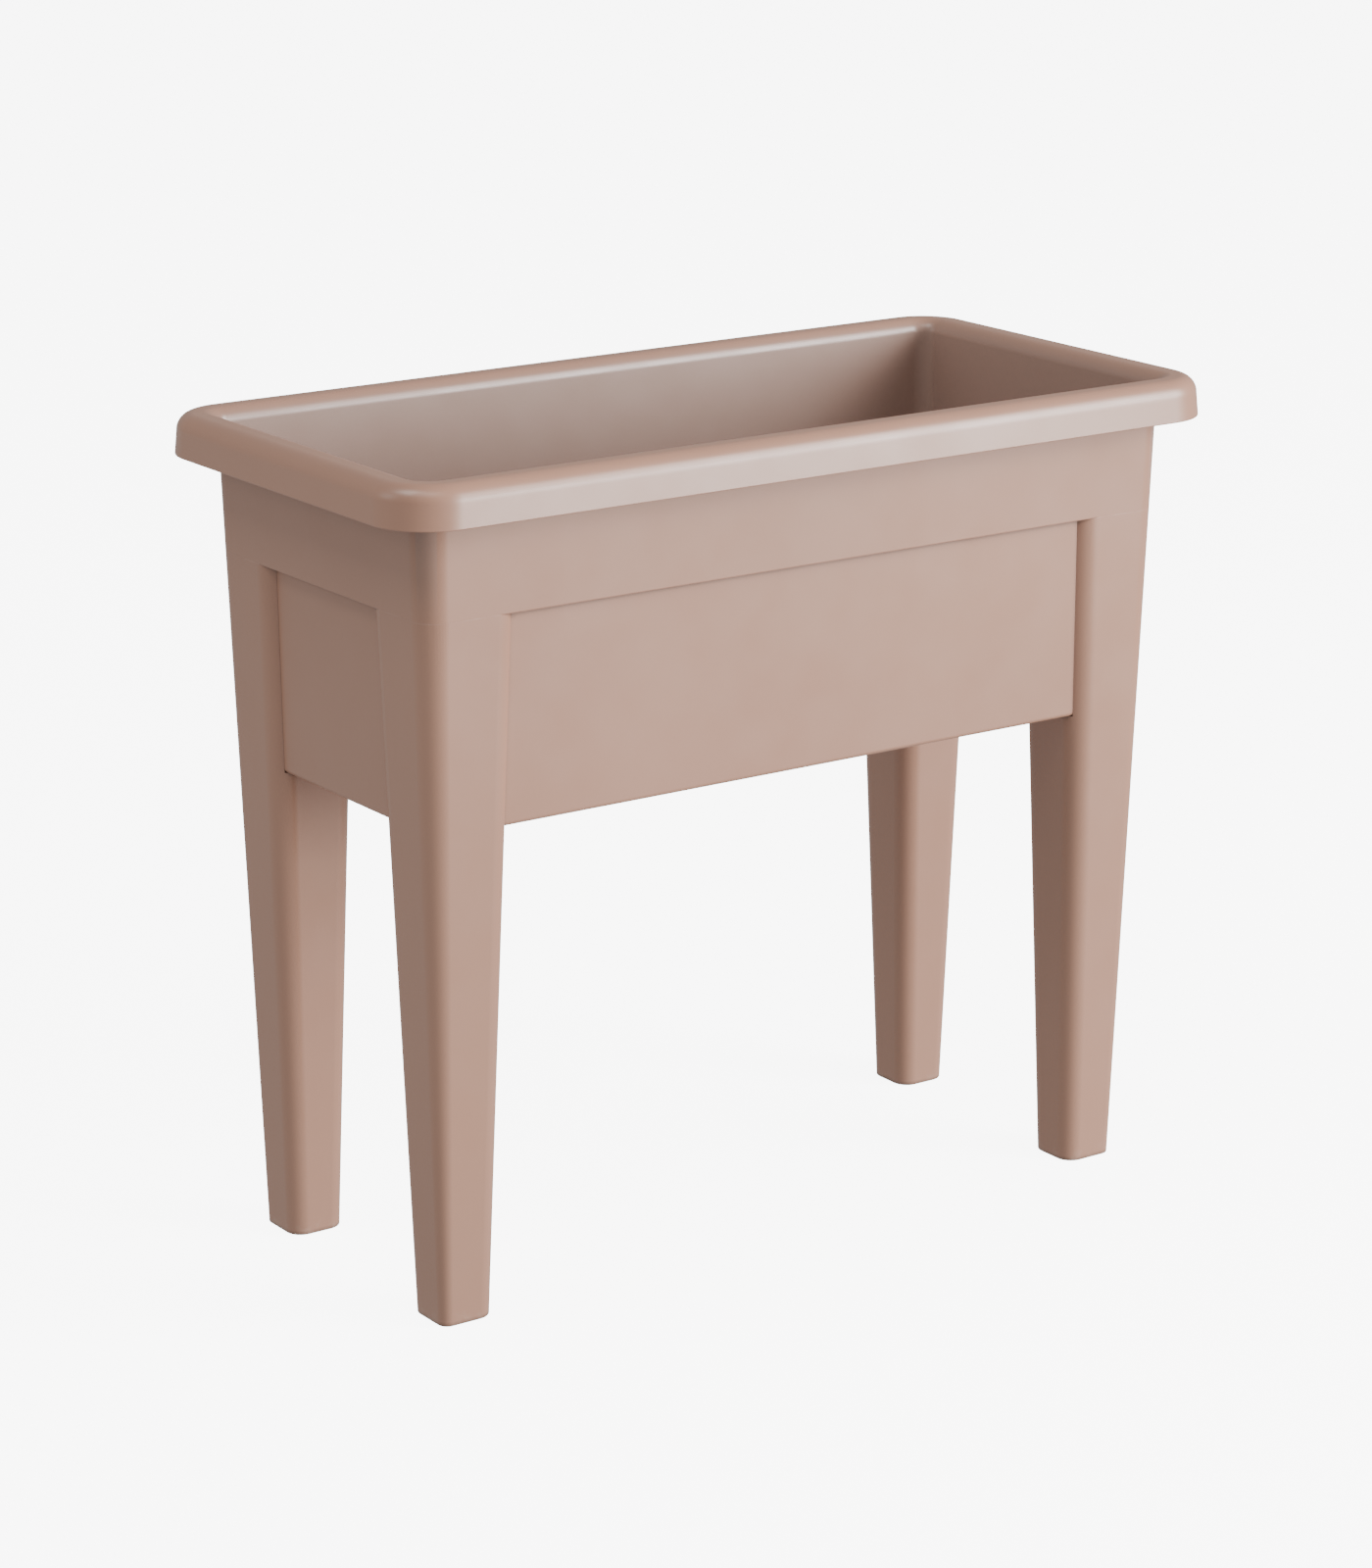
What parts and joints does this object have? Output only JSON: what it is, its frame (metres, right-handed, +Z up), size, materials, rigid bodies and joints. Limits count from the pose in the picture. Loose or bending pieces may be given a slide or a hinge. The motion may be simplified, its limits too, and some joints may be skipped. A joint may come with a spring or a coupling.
{
  "type": "raised planter",
  "caption": "Moulded-plastic planting trough with a broad rim, on tapered hollow legs that meet its stepped-in walls; a reservoir grid lifts out and a drain plug screws in.",
  "frame": {"origin": "on the ground, under the middle of the planter", "axes": "+X along the length, to the right seen from the front; -Y is the front; +Z up"},
  "size_m": [0.75, 0.369, 0.653],
  "materials": {
    "taupe_plastic": "satin moulded",
    "dark_plastic": "matte moulded",
    "black_rubber": "matte",
    "zinc_steel": "zinc plated"
  },
  "bodies": {
    "planter": {"planter_trough": "taupe_plastic", "leg_front_left": "taupe_plastic", "leg_front_right": "taupe_plastic", "leg_rear_left": "taupe_plastic", "leg_rear_right": "taupe_plastic", "leg_screw_front_left_end": "zinc_steel", "leg_screw_front_left_side": "zinc_steel", "leg_screw_front_right_end": "zinc_steel", "leg_screw_front_right_side": "zinc_steel", "leg_screw_rear_left_end": "zinc_steel", "leg_screw_rear_left_side": "zinc_steel", "leg_screw_rear_right_end": "zinc_steel", "leg_screw_rear_right_side": "zinc_steel"},
    "plug_seal": {"plug_seal": "black_rubber"},
    "drain_plug": {"drain_plug": "dark_plastic"},
    "reservoir_grid": {"reservoir_grid": "dark_plastic"}
  },
  "joints": [
    {"name": "plug_travel", "type": "slide", "parent": "planter", "child": "plug_seal", "axis": [0, 0, -1], "range_m": [0, 0.009]},
    {"name": "plug_turn", "type": "hinge", "parent": "plug_seal", "child": "drain_plug", "pos_m": [0, 0, 0.367], "axis": [0, 0, -1], "range_deg": [0, 1080]},
    {"name": "grid_lift", "type": "slide", "parent": "planter", "child": "reservoir_grid", "axis": [0, 0, 1], "range_m": [0, 0.28]}
  ],
  "couplings": [
    {"joint": "plug_travel", "follows": "plug_turn", "m_per_rad": 0.00047746}
  ]
}
